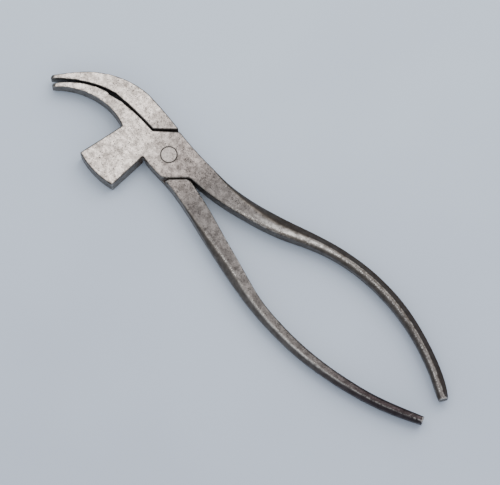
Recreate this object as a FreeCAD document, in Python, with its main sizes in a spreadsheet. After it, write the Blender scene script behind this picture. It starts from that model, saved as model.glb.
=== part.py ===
# Shoemaker's lasting pincers: two forged steel levers that cross in a half lap
# and turn on one flush rivet.  Millimetres, +X to the jaws, +Y to the hammer,
# +Z up; the origin is on the rivet's axis, in the plane that the tool lies on.
import FreeCAD, Part
import math
import os
import Sketcher

doc = FreeCAD.newDocument("lasting_pincers")

# ---------------------------------------------------------------- driving sizes
SIZES = [
    # the half lap joint
    ("joint_thickness", 9.5, "both levers together at the rivet"),
    ("lap_clearance", 0.1, "gap between the two lap plates"),
    ("plate_radius", 10.0, "rivet axis to the straight shoulder of a lap plate"),
    ("corner_margin", 0.8, "a plate's outer corner beyond the plate radius"),
    ("elbow_margin", 2.4, "a plate's jaw elbow beyond the plate radius"),
    ("crotch_margin", 2.7, "a plate's handle crotch beyond the plate radius"),
    ("shoulder_gap", 0.95, "free space between plate and jaw shoulder"),
    ("shoulder_flare", 1.8, "that space opens outwards by this angle, degrees"),
    ("handle_shoulder_gap", 0.45, "free space between plate and handle shoulder"),
    ("relief_run", 1.6, "the handle shoulder turns back this far along the handle"),
    ("relief_rise", 4.5, "over this far across it"),
    ("jaw_shoulder_angle", 48.7, "direction of the jaw-side shoulder, degrees"),
    ("handle_shoulder_angle", 44.6, "direction of the handle-side shoulder, degrees"),
    ("plate_round_start", 116.0, "where the upper plate's rounded end starts, degrees"),
    ("low_round_start", 112.0, "where the lower plate's rounded end starts, degrees"),
    ("low_corner_run", 1.0, "lower plate's hammer-side corner past its foot"),
    ("arc_clearance", 0.4, "running clearance round the elbow and crotch arcs"),
    ("pocket_reach", 17.0, "how far the lap pockets are cut, past every outline"),
    ("arc_stop", 6.0, "sideways place where the elbow arc's clearance ends"),
    ("crotch_arc_stop", 4.0, "sideways place where the crotch arc's clearance ends"),
    ("pocket_overlap", 2.0, "how far a lap pocket runs past the plate's elbow or crotch"),
    # the rivet
    ("rivet_diameter", 6.0, "shank"),
    ("rivet_head_diameter", 6.8, "countersunk head where it meets the face"),
    ("rivet_head_depth", 1.2, "depth of the countersink"),
    ("rivet_clearance", 0.05, "radial running clearance in the plain lever"),
    # the jaws, in plan
    ("jaw_gap", 0.5, "between the jaws from elbow to relief"),
    ("jaw_edge_bulge", 0.45, "bow of the hammer jaw's edge from elbow to relief"),
    ("plain_edge_bulge", 0.25, "hollow of the plain jaw's edge there"),
    ("relief_start", 30.4, "where the diamond relief opens"),
    ("relief_start_side", -2.55, "hammer lever's edge there"),
    ("relief_peak", 35.9, "deepest point of the relief"),
    ("relief_peak_side", -1.15, "hammer lever's edge there"),
    ("plain_relief_lead", 1.4, "the plain lever's relief starts this far before the peak"),
    ("plain_relief_drop", 0.8, "and this much lower than the hammer lever's"),
    ("heel", 37.4, "start of the hammer lever's gripping edge"),
    ("heel_side", -1.5, "hammer lever's edge there"),
    ("plain_heel_lag", 0.8, "plain lever's gripping edge starts this much later"),
    ("heel_gap", 0.75, "between the gripping edges at the heel, across"),
    ("jaw_reach", 56.3, "end of the hammer lever's gripping edge"),
    ("jaw_rise", 11.7, "sideways place of that end"),
    ("nose_lead", 1.9, "plain lever's gripping edge ends this much further on"),
    ("nose_drop", 0.9, "and this much lower"),
    ("grip_bulge", 2.0, "bow of the hammer lever's gripping edge"),
    ("plain_grip_bulge", 1.35, "hollow of the plain lever's gripping edge"),
    ("nose_width", 1.65, "width of each nose"),
    ("nose_slant", 0.1, "how far its outer corner stands back"),
    ("nose_bulge", 0.2, "bow of the hammer lever's nose"),
    ("plain_nose_bulge", 0.37, "bow of the plain lever's nose"),
    ("beak_bulge", 2.6, "hollow of the hammer lever's upper edge"),
    ("waist", 32.2, "place of the hammer jaw's narrowest stretch"),
    ("waist_side", 2.7, "its upper edge there"),
    ("back_reach", 24.2, "deepest point of the plain jaw's back"),
    ("back_side", -12.6, "the back's edge there"),
    ("back_turn", 50.2, "where the back straightens to the nose"),
    ("back_turn_side", -1.2, "the back's edge there"),
    ("back_bulge", 2.6, "bow of the plain jaw's back"),
    ("back_start_bulge", 0.5, "bow of the back from the plate to its deepest point"),
    ("back_end_bulge", 0.2, "bow of its last stretch to the nose"),
    ("jaw_taper_start", 27.0, "where the jaws begin to thin"),
    ("jaw_tip_thickness", 6.6, "thickness of the jaws at the noses"),
    ("tooth_pitch", 0.95, "distance from tooth to tooth"),
    ("tooth_depth", 0.3, "depth of the grooves between the teeth"),
    # the hammer
    ("hammer_root", 7.0, "handle-side flank at its foot"),
    ("hammer_root_side", 8.1, "the notch at its foot"),
    ("hammer_lean", 0.55, "lean of that flank over its height"),
    ("hammer_height", 25.5, "sideways place of the face's left corner"),
    ("hammer_face", 19.3, "length of the face"),
    ("face_drop", 0.6, "the far corner of the face sits this much lower"),
    ("face_crown", 1.35, "crown of the face"),
    ("neck", 22.5, "jaw-side flank at its foot"),
    ("neck_side", 4.7, "the inner corner at its foot"),
    ("neck_bulge", 0.4, "hollow of the beak's edge beside it"),
    ("hammer_edge_bulge", 0.35, "bow of the joint's hammer-side edge"),
    ("edge_bevel", 0.35, "small bevel on all long edges"),
    # the handles
    ("handle_reach", 151.0, "rivet axis to the handle ends"),
    ("hammer_root_bulge", 0.3, "hollow of the hammer lever's edge below the joint"),
    ("plain_root_bulge", 0.2, "hollow of the plain lever's edge above the joint"),
    ("plain_shoulder_bulge", 0.15, "bow of the plain lever's edge over the joint"),
]

# Handle sections from joint to end: place along the handle as a share of its
# reach, sideways centre, turn in degrees, width, how much thinner than the joint,
# outer and inner round of the section's corners.
COLUMNS = ("share", "side", "turn", "width", "thinning", "outer", "inner")
HAMMER_HANDLE = [
    (0.093, -3.90, 0.0, 9.6, 0.0, 0.45, 0.45),
    (0.128, -4.02, -3.0, 9.2, 0.05, 0.8, 0.45),
    (0.172, -4.40, -6.0, 8.6, 0.15, 1.6, 0.5),
    (0.265, -6.95, -13.5, 8.0, 0.4, 2.7, 0.5),
    (0.358, -11.00, -19.5, 7.7, 0.7, 3.0, 0.6),
    (0.450, -16.20, -18.5, 6.3, 1.1, 2.9, 1.0),
    (0.543, -19.95, -10.5, 5.8, 1.6, 2.7, 1.7),
    (0.649, -21.40, 0.0, 5.75, 1.9, 2.6, 2.1),
    (0.755, -20.10, 9.5, 5.65, 2.1, 2.6, 2.3),
    (0.874, -15.20, 20.5, 5.3, 2.5, 2.5, 2.2),
    (0.940, -10.95, 27.5, 5.25, 2.7, 2.2, 1.9),
    (0.976, -7.90, 31.5, 5.0, 2.9, 2.0, 1.8),
    (1.000, -5.65, 34.0, 4.0, 3.2, 1.6, 1.6),
]
PLAIN_HANDLE = [
    (0.093, 5.80, 0.0, 8.6, 0.0, 0.45, 0.45),
    (0.128, 6.90, 9.0, 8.35, 0.05, 0.6, 0.45),
    (0.172, 8.50, 14.5, 8.4, 0.15, 1.1, 0.5),
    (0.265, 12.45, 15.5, 8.0, 0.4, 2.0, 0.5),
    (0.358, 16.10, 13.5, 7.2, 0.8, 2.3, 0.6),
    (0.450, 19.30, 10.0, 5.9, 1.3, 2.2, 0.8),
    (0.543, 20.70, 3.0, 5.4, 1.8, 2.1, 1.1),
    (0.649, 20.55, -4.0, 5.1, 2.1, 2.1, 1.4),
    (0.755, 18.45, -11.0, 4.7, 2.3, 2.0, 1.5),
    (0.874, 14.00, -18.5, 4.3, 2.5, 1.8, 1.7),
    (0.940, 10.30, -22.0, 4.0, 2.7, 1.7, 1.6),
    (0.976, 7.95, -23.5, 3.7, 2.8, 1.6, 1.5),
    (1.000, 6.35, -24.5, 3.4, 2.9, 1.4, 1.4),
]

sheet = doc.addObject("Spreadsheet::Sheet", "Sizes")
rows_used = 0


def put(alias, value, note):
    """Write one driving size into the sheet, with its alias and its meaning."""
    global rows_used
    rows_used += 1
    sheet.set(f"A{rows_used}", alias)
    sheet.set(f"B{rows_used}", str(value))
    sheet.setAlias(f"B{rows_used}", alias)
    sheet.set(f"C{rows_used}", note)


for alias, value, note in SIZES:
    put(alias, value, note)
for lever, table in (("hammer", HAMMER_HANDLE), ("plain", PLAIN_HANDLE)):
    for number, row in enumerate(table):
        for column, value in zip(COLUMNS, row):
            put(f"{lever}_{column}_{number}", value, f"{lever} handle, section {number}")
doc.recompute()


def size(alias):
    """The expression that reads one size."""
    return f"Sizes.{alias}"


def value_of(expression):
    """The present value of an expression."""
    return float(sheet.evalExpression(str(expression)))


# ------------------------------------------------------- points the levers share
T = size("joint_thickness")
MIDDLE = f"({T} / 2)"
LAP_DEPTH = f"({T} / 2 + {size('lap_clearance')} / 2)"
PLATE = size("plate_radius")
CORNER = f"({PLATE} + {size('corner_margin')})"
ELBOW = f"({PLATE} + {size('elbow_margin')})"
CROTCH = f"({PLATE} + {size('crotch_margin')})"
SHOULDER = f"({PLATE} + {size('shoulder_gap')})"
HANDLE_SHOULDER = f"({PLATE} + {size('handle_shoulder_gap')})"
JAW_FOOT = f"(-{size('jaw_shoulder_angle')} * 1 deg)"
HANDLE_FOOT = f"((180 - {size('handle_shoulder_angle')}) * 1 deg)"
FLARED_FOOT = f"((-{size('jaw_shoulder_angle')} + {size('shoulder_flare')}) * 1 deg)"
LOW_ELBOW = f"({ELBOW} + {size('arc_clearance')})"
LOW_CROTCH = f"({CROTCH} + {size('arc_clearance')})"


def polar(radius, angle):
    """A point given by its distance from the rivet axis and its direction."""
    return (f"({radius} * cos({angle}))", f"({radius} * sin({angle}))")


def along(distance, angle, run):
    """A point on the line at a distance from the axis, run along it from its foot."""
    x, y = polar(distance, angle)
    return (f"({x} - ({run}) * sin({angle}))", f"({y} + ({run}) * cos({angle}))")


def flipped(point):
    """The same point on the other side of the X axis."""
    return (point[0], f"(-{point[1]})")


def shifted(point, x, y):
    """A point moved by a pair of expressions."""
    return (f"({point[0]} + {x})", f"({point[1]} + {y})")


def run_to(radius, distance):
    """How far from its foot a line at this distance meets a circle."""
    return f"sqrt(({radius})^2 - ({distance})^2)"


def handle_shoulder(radius):
    """Where the straight handle shoulder meets a circle, beside the crotch."""
    return along(HANDLE_SHOULDER, HANDLE_FOOT, run_to(radius, HANDLE_SHOULDER))


def hollow(alias):
    """A bulge to the left of the way travelled."""
    return f"(-{size(alias)})"


def plate_round_bulge(alias):
    """The bulge of a plate's rounded end, from its start to the handle shoulder."""
    sweep = f"(180 - {size('handle_shoulder_angle')} - {size(alias)})"
    return f"({PLATE} * (1 - cos({sweep} / 2 * 1 deg)))"


# the upper plate's shoulders; the lower plate has them flipped
plate_corner = along(PLATE, JAW_FOOT, f"-{run_to(CORNER, PLATE)}")
plate_elbow = along(PLATE, JAW_FOOT, run_to(ELBOW, PLATE))
plate_foot = polar(PLATE, HANDLE_FOOT)
plate_crotch = along(PLATE, HANDLE_FOOT, run_to(CROTCH, PLATE))
round_start = polar(PLATE, f"({size('plate_round_start')} * 1 deg)")
low_round_start = polar(PLATE, f"(-{size('low_round_start')} * 1 deg)")
# the hammer-side corner of the lower plate stops at the hammer's foot
low_corner_run = size("low_corner_run")
low_corner = along(PLATE, f"(-{JAW_FOOT})", low_corner_run)

# the handle shoulder turns away from the plate near the handle's outer edge
handle_bend = polar(HANDLE_SHOULDER, HANDLE_FOOT)
handle_relief = shifted(handle_bend, size("relief_run"), size("relief_rise"))

JAW_EDGE = f"({plate_elbow[1]} - {size('jaw_gap')})"
ROOT_X = f"(-{size('handle_reach')} * {size('hammer_share_0')})"


def root_edge(lever, side):
    """A corner of a handle's first section, where it leaves the joint."""
    centre = size(f"{lever}_side_0")
    half = f"{size(f'{lever}_width_0')} / 2"
    return (ROOT_X, f"({centre} + {side} * {half})")


heel = (size("heel"), size("heel_side"))
tip = (size("jaw_reach"), size("jaw_rise"))
plain_heel = shifted(heel, size("plain_heel_lag"), f"(-{size('heel_gap')})")
plain_tip = shifted(tip, size("nose_lead"), f"(-{size('nose_drop')})")


def chord(start, end):
    """Run in X, run in Y and length of the chord between two points."""
    run_x = f"({end[0]} - {start[0]})"
    run_y = f"({end[1]} - {start[1]})"
    return run_x, run_y, f"sqrt({run_x}^2 + {run_y}^2)"


def nose_corner(start, end, side):
    """The far corner of a nose, across the jaw from the gripping edge's end."""
    run_x, run_y, length = chord(start, end)
    across = f"{side} * {size('nose_width')}"
    set_back = f"{size('nose_slant')}"
    return (f"({end[0]} - {across} * {run_y} / {length} - {set_back} * {run_x} / {length})",
            f"({end[1]} + {across} * {run_x} / {length} - {set_back} * {run_y} / {length})")


tip_back = nose_corner(heel, tip, 1)
plain_tip_back = nose_corner(plain_heel, plain_tip, -1)


def arc_bulge(start, end, radius):
    """The bulge of a shallow arc of this radius between two points."""
    length = chord(start, end)[2]
    return f"({radius} - sqrt({radius}^2 - {length}^2 / 4))"


def quarter(radius):
    """The bulge of a quarter round of this radius."""
    return f"({radius} * (1 - sqrt(0.5)))"


def arc_radius(start, end, bulge):
    """Radius of the arc over a chord that bows by this much."""
    length = chord(start, end)[2]
    return f"({length}^2 / (8 * abs({bulge})) + abs({bulge}) / 2)"


def arc_centre(start, end, bulge):
    """Centre of an arc that bows to the right of the way travelled."""
    run_x, run_y, length = chord(start, end)
    back = f"({arc_radius(start, end, bulge)} - {bulge})"
    return (f"(({start[0]} + {end[0]}) / 2 - {back} * {run_y} / {length})",
            f"(({start[1]} + {end[1]}) / 2 + {back} * {run_x} / {length})")


# --------------------------------------------------------------- sketch helpers
def new_body(label):
    body = doc.addObject("PartDesign::Body", label)
    body.Label = label
    return body


def new_sketch(body, name, role):
    """A sketch on one of its body's origin planes."""
    sketch = body.newObject("Sketcher::SketchObject", name)
    plane = [o for o in body.Origin.OriginFeatures if o.Role == role][0]
    sketch.AttachmentSupport = [(plane, "")]
    sketch.MapMode = "FlatFace"
    return sketch


def place_of(point):
    return FreeCAD.Vector(value_of(point[0]), value_of(point[1]), 0)


def bowed_arc(start, end, bulge):
    """The arc between two places; a positive bulge bows right of the way travelled."""
    run = end - start
    depth = abs(bulge)
    radius = run.Length ** 2 / (8 * depth) + depth / 2
    right = FreeCAD.Vector(run.y, -run.x, 0).normalize()
    inward = -math.copysign(radius - depth, bulge)
    centre = (start + end) / 2 + right * inward
    circle = Part.Circle(centre, FreeCAD.Vector(0, 0, 1), radius)
    if bulge > 0:
        first, last = start, end
    else:
        first, last = end, start
    angle_first = math.atan2(first.y - centre.y, first.x - centre.x)
    angle_last = math.atan2(last.y - centre.y, last.x - centre.x)
    if angle_last < angle_first:
        angle_last += 2 * math.pi
    return Part.ArcOfCircle(circle, angle_first, angle_last)


def draw(sketch, start, steps):
    """A closed outline with every corner and radius tied to the sheet.

    A step is the corner it reaches, in a straight line, or the pair of that
    corner and the bulge of the arc that reaches it.
    """
    corners = [start]
    bulges = []
    for step in steps:
        if isinstance(step[0], tuple):
            corners.append(step[0])
            bulges.append(step[1])
        else:
            corners.append(step)
            bulges.append(None)
    if corners[-1] == start:
        corners.pop()
    else:
        bulges.append(None)
    count = len(corners)
    places = [place_of(corner) for corner in corners]
    first = len(sketch.Geometry)
    begins = []
    for number, bulge in enumerate(bulges):
        here = places[number]
        there = places[(number + 1) % count]
        if bulge is None:
            sketch.addGeometry(Part.LineSegment(here, there), False)
            begins.append(1)
        else:
            bow = value_of(bulge)
            sketch.addGeometry(bowed_arc(here, there, bow), False)
            begins.append(1 if bow > 0 else 2)
    joins = []
    for number in range(count):
        after = (number + 1) % count
        joins.append(Sketcher.Constraint("Coincident", first + number, 3 - begins[number],
                                         first + after, begins[after]))
    sketch.addConstraint(joins)
    for number, (x, y) in enumerate(corners):
        piece = first + number
        tie(sketch, ("DistanceX", -1, 1, piece, begins[number]), x)
        tie(sketch, ("DistanceY", -1, 1, piece, begins[number]), y)
        if bulges[number] is not None:
            after = corners[(number + 1) % count]
            tie(sketch, ("Radius", piece), arc_radius(corners[number], after, bulges[number]))


def tie(sketch, constraint, expression):
    """Add one measured constraint and bind it to its expression."""
    index = sketch.addConstraint(Sketcher.Constraint(*constraint, value_of(expression)))
    sketch.setExpression(f"Constraints[{index}]", expression)


def pad(body, name, sketch, height):
    feature = body.newObject("PartDesign::Pad", name)
    feature.Profile = sketch
    feature.setExpression("Length", height)
    doc.recompute()
    return feature


def pocket(body, name, sketch, depth, upwards=False, both_ways=False):
    """Cut a sketch to a depth, along or against its normal or half each way."""
    before = body.Shape.Volume
    feature = body.newObject("PartDesign::Pocket", name)
    feature.Profile = sketch
    feature.Reversed = upwards
    if both_ways:
        feature.SideType = "Symmetric"
    feature.setExpression("Length", depth)
    doc.recompute()
    if body.Shape.Volume > before - 1e-3:
        raise RuntimeError(f"{name} cuts nothing")
    return feature


def bevel(body, name, edges, width):
    """Break the chosen edges of the body as it stands."""
    base = body.Tip
    feature = body.newObject("PartDesign::Chamfer", name)
    feature.Base = (base, edges)
    feature.setExpression("Size", width)
    doc.recompute()
    return feature


# --------------------------------------------------------------- shared features
def taper_jaws(body):
    """Thin the jaws evenly on both faces towards the noses."""
    start = size("jaw_taper_start")
    far = f"({size('jaw_reach')} + 10)"
    share = f"(({far} - {start}) / ({size('jaw_reach')} - {start}))"
    fall = f"(({T} - {size('jaw_tip_thickness')}) / 2 * {share})"
    sketch = new_sketch(body, f"{body.Label}_taper", "XZ_Plane")
    over = f"({T} + 1)"
    draw(sketch, (start, T), [(far, f"({T} - {fall})"), (far, over), (start, over)])
    draw(sketch, (start, "0"), [(start, "(-1)"), (far, "(-1)"), (far, fall)])
    pocket(body, f"{body.Label}_jaw_taper", sketch, f"(4 * {size('jaw_reach')})", both_ways=True)


NEAR = 0.01


def middle_of(edge):
    return edge.valueAt((edge.FirstParameter + edge.LastParameter) / 2)


def rim_edges(shape, grip):
    """Every edge round the two faces but the toothed ones and the handle's root."""
    root_x = value_of(ROOT_X)
    start, end, bulge, _ = grip
    centre = place_of(arc_centre(start, end, bulge))
    radius = value_of(arc_radius(start, end, bulge))
    chosen = []
    for number, edge in enumerate(shape.Edges, 1):
        middle = middle_of(edge)
        upright = abs(edge.tangentAt(edge.FirstParameter).z) > 0.5
        at_root = abs(middle.x - root_x) < NEAR
        reach = math.hypot(middle.x - centre.x, middle.y - centre.y)
        toothed = abs(reach - radius) < NEAR and middle.x > value_of(start[0])
        if not (upright or at_root or toothed):
            chosen.append(f"Edge{number}")
    return chosen


def cut_bore(body, clearance, head_up):
    """The rivet's bore, countersunk on the lever's outer face."""
    radius = f"({size('rivet_diameter')} / 2 + {clearance})"
    head = f"({size('rivet_head_diameter')} / 2 + {clearance})"
    depth = size("rivet_head_depth")
    sketch = new_sketch(body, f"{body.Label}_bore_profile", "XZ_Plane")
    if head_up:
        draw(sketch, ("0", "(-1)"), [(radius, "(-1)"), (radius, f"({T} - {depth})"),
                                     (head, T), ("0", T)])
    else:
        draw(sketch, ("0", "0"), [(head, "0"), (radius, depth), (radius, f"({T} + 1)"),
                                  ("0", f"({T} + 1)")])
    before = body.Shape.Volume
    groove = body.newObject("PartDesign::Groove", f"{body.Label}_bore")
    groove.Profile = sketch
    groove.ReferenceAxis = (sketch, ["V_Axis"])
    groove.Angle = 360.0
    doc.recompute()
    if body.Shape.Volume > before - 1e-3:
        raise RuntimeError("the bore cuts nothing")


def cut_teeth(body, start, end, bulge, side):
    """Fine grooves across a gripping edge, repeated round the edge's own arc."""
    centre = arc_centre(start, end, bulge)
    radius = arc_radius(start, end, bulge)
    pitch = size("tooth_pitch")
    half = f"({pitch} * 0.45)"
    floor = f"({radius} - {side} * {size('tooth_depth')})"
    mouth = f"({radius} + {side} * 0.1)"
    sketch = new_sketch(body, f"{body.Label}_tooth", "XY_Plane")
    first = f"atan2({start[1]} - {centre[1]}; {start[0]} - {centre[0]})"
    sketch.setExpression("AttachmentOffset", f"placement(vector({centre[0]}; {centre[1]}; 0);"
                         f" rotation(vector(0; 0; 1); {first} + {pitch} / {radius} * 1 rad))")
    draw(sketch, (floor, "0"), [(mouth, half), (mouth, f"(-{half})")])
    cutter = pocket(body, f"{body.Label}_first_groove", sketch, T, upwards=True)
    spread = f"(2 * asin({chord(start, end)[2]} / (2 * {radius})) / 1 rad)"
    count = f"floor({spread} * {radius} / {pitch} - 1)"
    before = body.Shape.Volume
    pattern = body.newObject("PartDesign::PolarPattern", f"{body.Label}_teeth")
    pattern.Originals = [cutter]
    pattern.Axis = (sketch, ["N_Axis"])
    body.Tip = pattern
    pattern.setExpression("Occurrences", count)
    pattern.setExpression("Angle", f"({count} - 1) * {pitch} / {radius} * 1 rad")
    doc.recompute()
    if body.Shape.Volume > before - 1e-3:
        raise RuntimeError("the grooves repeat nothing")


def add_handle(body, lever, table, outer_side):
    """Loft the handle from the joint through sections that round off to its end."""
    sections = []
    for number in range(len(table)):
        def cell(column):
            return size(f"{lever}_{column}_{number}")

        thickness = f"({T} - {cell('thinning')})"
        half = f"({cell('width')} / 2)"
        low = f"({MIDDLE} - {thickness} / 2)"
        high = f"({MIDDLE} + {thickness} / 2)"
        near = cell("outer")
        far = cell("inner")
        if outer_side > 0:
            near, far = far, near
        sketch = new_sketch(body, f"{lever}_section_{number}", "YZ_Plane")
        out = f"-{size('handle_reach')} * {cell('share')}"
        sketch.setExpression("AttachmentOffset", f"placement(vector({cell('side')}; 0; {out});"
                             f" rotation(vector(0; 1; 0); -{cell('turn')}))")
        draw(sketch, (f"(-{half} + {near})", low), [
            (f"({half} - {far})", low),
            ((half, f"({low} + {far})"), quarter(far)),
            (half, f"({high} - {far})"),
            ((f"({half} - {far})", high), quarter(far)),
            (f"(-{half} + {near})", high),
            ((f"(-{half})", f"({high} - {near})"), quarter(near)),
            (f"(-{half})", f"({low} + {near})"),
            ((f"(-{half} + {near})", low), quarter(near))])
        sections.append(sketch)
    doc.recompute()
    loft = body.newObject("PartDesign::AdditiveLoft", f"{lever}_handle")
    loft.Profile = sections[0]
    loft.Sections = sections[1:]
    doc.recompute()
    return loft


# ---------------------------------------------------------------- hammer lever
def plan_of_hammer_lever(body):
    """Jaw, hammer, upper plate and handle root, seen from above."""
    relief = (size("relief_start"), size("relief_start_side"))
    peak = (size("relief_peak"), size("relief_peak_side"))
    waist = (size("waist"), size("waist_side"))
    neck = (size("neck"), size("neck_side"))
    foot = (size("hammer_root"), size("hammer_root_side"))
    face_left = (f"({foot[0]} + {size('hammer_lean')})", size("hammer_height"))
    face_right = shifted(face_left, size("hammer_face"), f"(-{size('face_drop')})")
    sketch = new_sketch(body, "hammer_lever_plan", "XY_Plane")
    draw(sketch, plate_corner, [
        plate_elbow,
        (relief, size("jaw_edge_bulge")),
        peak,
        heel,
        (tip, size("grip_bulge")),
        (tip_back, size("nose_bulge")),
        (waist, hollow("beak_bulge")),
        (neck, hollow("neck_bulge")),
        face_right,
        (face_left, size("face_crown")),
        foot,
        (round_start, size("hammer_edge_bulge")),
        (plate_foot, plate_round_bulge("plate_round_start")),
        plate_crotch,
        root_edge("hammer", 1),
        root_edge("hammer", -1),
        (plate_corner, hollow("hammer_root_bulge"))])
    return sketch


def lap_pocket_of_hammer_lever(body):
    """Room for the lower plate, cut from below up to the middle."""
    beyond = size("pocket_reach")
    stop = size("arc_stop")
    crotch_stop = size("crotch_arc_stop")
    shoulder_far = along(SHOULDER, f"(-{FLARED_FOOT})", beyond)
    shoulder_near = along(SHOULDER, f"(-{FLARED_FOOT})", f"-{run_to(LOW_ELBOW, SHOULDER)}")
    elbow_end = (run_to(LOW_ELBOW, stop), f"(-{stop})")
    crotch = flipped(handle_shoulder(LOW_CROTCH))
    crotch_end = (f"(-{run_to(LOW_CROTCH, crotch_stop)})", crotch_stop)
    bottom = f"(-{beyond})"
    sketch = new_sketch(body, "hammer_lever_lap_plan", "XY_Plane")
    draw(sketch, shoulder_far, [
        shoulder_near,
        (elbow_end, f"(-{arc_bulge(shoulder_near, elbow_end, LOW_ELBOW)})"),
        (elbow_end[0], bottom),
        (handle_relief[0], bottom),
        flipped(handle_relief),
        flipped(handle_bend),
        crotch,
        (crotch_end, f"(-{arc_bulge(crotch, crotch_end, LOW_CROTCH)})"),
        (crotch_end[0], beyond),
        (shoulder_far[0], beyond)])
    pocket(body, "hammer_lever_lap", sketch, LAP_DEPTH, upwards=True)


# ----------------------------------------------------------------- plain lever
def plan_of_plain_lever(body):
    """Jaw, lower plate and handle root, seen from above."""
    jaw_start = (run_to(ELBOW, JAW_EDGE), JAW_EDGE)
    relief = (f"({size('relief_peak')} - {size('plain_relief_lead')})",
              f"({size('relief_start_side')} - {size('plain_relief_drop')})")
    back_turn = (size("back_turn"), size("back_turn_side"))
    back = (size("back_reach"), size("back_side"))
    crotch_low = flipped(plate_crotch)
    sketch = new_sketch(body, "plain_lever_plan", "XY_Plane")
    draw(sketch, low_round_start, [
        (back, size("back_start_bulge")),
        (back_turn, size("back_bulge")),
        (plain_tip_back, size("back_end_bulge")),
        (plain_tip, size("plain_nose_bulge")),
        (plain_heel, hollow("plain_grip_bulge")),
        relief,
        (jaw_start, hollow("plain_edge_bulge")),
        (flipped(plate_elbow), arc_bulge(jaw_start, flipped(plate_elbow), ELBOW)),
        low_corner,
        (round_start, size("plain_shoulder_bulge")),
        (root_edge("plain", 1), hollow("plain_root_bulge")),
        root_edge("plain", -1),
        plate_crotch,
        (crotch_low, arc_bulge(plate_crotch, crotch_low, CROTCH)),
        flipped(plate_foot),
        (low_round_start, plate_round_bulge("low_round_start"))])
    return sketch


def lap_pocket_of_plain_lever(body):
    """Room for the upper plate, cut from above down to the middle."""
    side = size("pocket_reach")
    bottom = f"(-{side})"
    overlap = size("pocket_overlap")
    start = along(SHOULDER, FLARED_FOOT, f"-({PLATE})")
    elbow = along(SHOULDER, FLARED_FOOT, f"(({JAW_EDGE} - {polar(SHOULDER, FLARED_FOOT)[1]})"
                  f" / cos({FLARED_FOOT}))")
    crotch = handle_shoulder(CROTCH)
    sketch = new_sketch(body, "plain_lever_lap_plan", "XY_Plane")
    sketch.setExpression("AttachmentOffset.Base.z", T)
    draw(sketch, start, [
        elbow,
        (f"({ELBOW} + {overlap})", elbow[1]),
        (f"({ELBOW} + {overlap})", side),
        (handle_relief[0], side),
        handle_relief,
        handle_bend,
        crotch,
        (f"(-{CROTCH} - {overlap})", f"({crotch[1]} - {overlap} / 4)"),
        (f"(-{CROTCH} - {overlap})", bottom),
        (start[0], bottom)])
    pocket(body, "plain_lever_lap", sketch, LAP_DEPTH)


# ------------------------------------------------------------------- the rivet
def make_rivet():
    """A shank with a countersunk head at each end, both flush with the faces."""
    body = new_body("pivot_rivet")
    shank = f"({size('rivet_diameter')} / 2)"
    head = f"({size('rivet_head_diameter')} / 2)"
    depth = size("rivet_head_depth")
    sketch = new_sketch(body, "pivot_rivet_profile", "XZ_Plane")
    draw(sketch, ("0", "0"), [(head, "0"), (shank, depth), (shank, f"({T} - {depth})"),
                              (head, T), ("0", T)])
    turned = body.newObject("PartDesign::Revolution", "pivot_rivet_turned")
    turned.Profile = sketch
    turned.ReferenceAxis = (sketch, ["V_Axis"])
    turned.Angle = 360.0
    doc.recompute()
    return body


# -------------------------------------------------------------- making the parts
def make_lever(label, plan, lap, head_up, clearance, lever, table, side, grip):
    body = new_body(label)
    pad(body, f"{label}_blank", plan(body), T)
    bevel(body, f"{label}_edges", rim_edges(body.Shape, grip), size("edge_bevel"))
    taper_jaws(body)
    cut_teeth(body, *grip)
    lap(body)
    cut_bore(body, clearance, head_up)
    add_handle(body, lever, table, side)
    return body


hammer_grip = (heel, tip, size("grip_bulge"), 1)
plain_grip = (plain_heel, plain_tip, size("plain_grip_bulge"), -1)
pieces = [
    make_lever("hammer_lever", plan_of_hammer_lever, lap_pocket_of_hammer_lever, True, "0",
               "hammer", HAMMER_HANDLE, -1, hammer_grip),
    make_lever("plain_lever", plan_of_plain_lever, lap_pocket_of_plain_lever, False,
               size("rivet_clearance"), "plain", PLAIN_HANDLE, 1, plain_grip),
    make_rivet(),
]
doc.recompute()

# -------------------------------------------------------------- checks and files
for item in doc.Objects:
    if "Invalid" in item.State or "Error" in item.State:
        raise RuntimeError(f"{item.Name} failed: {item.State}")
for piece in pieces:
    shape = piece.Shape
    if shape.isNull() or not shape.isValid() or len(shape.Solids) != 1:
        raise RuntimeError(f"{piece.Label} is not one sound solid")
os.makedirs("parts", exist_ok=True)
for piece in pieces:
    piece.Shape.exportStep(f"parts/{piece.Label}.step")
    box = piece.Shape.BoundBox
    print(f"{piece.Label}: {box.XLength:.1f} x {box.YLength:.1f} x {box.ZLength:.2f} mm,"
          f" {piece.Shape.Volume / 1000:.2f} cm3")
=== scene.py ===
# %% [markdown]
# # Shoemaker's lasting pincers
# Two forged steel levers cross in a half lap and turn on one flush rivet.  The
# jaws curve like a beak, a small hammer head stands out of one lever, and both
# handles bow outwards.  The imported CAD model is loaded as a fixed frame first,
# so every piece made here already has its true size and place, in metres.

# %% Load the frame
import math
from collections import namedtuple
import bpy
import bmesh
import numpy as np
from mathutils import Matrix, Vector, noise


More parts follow.
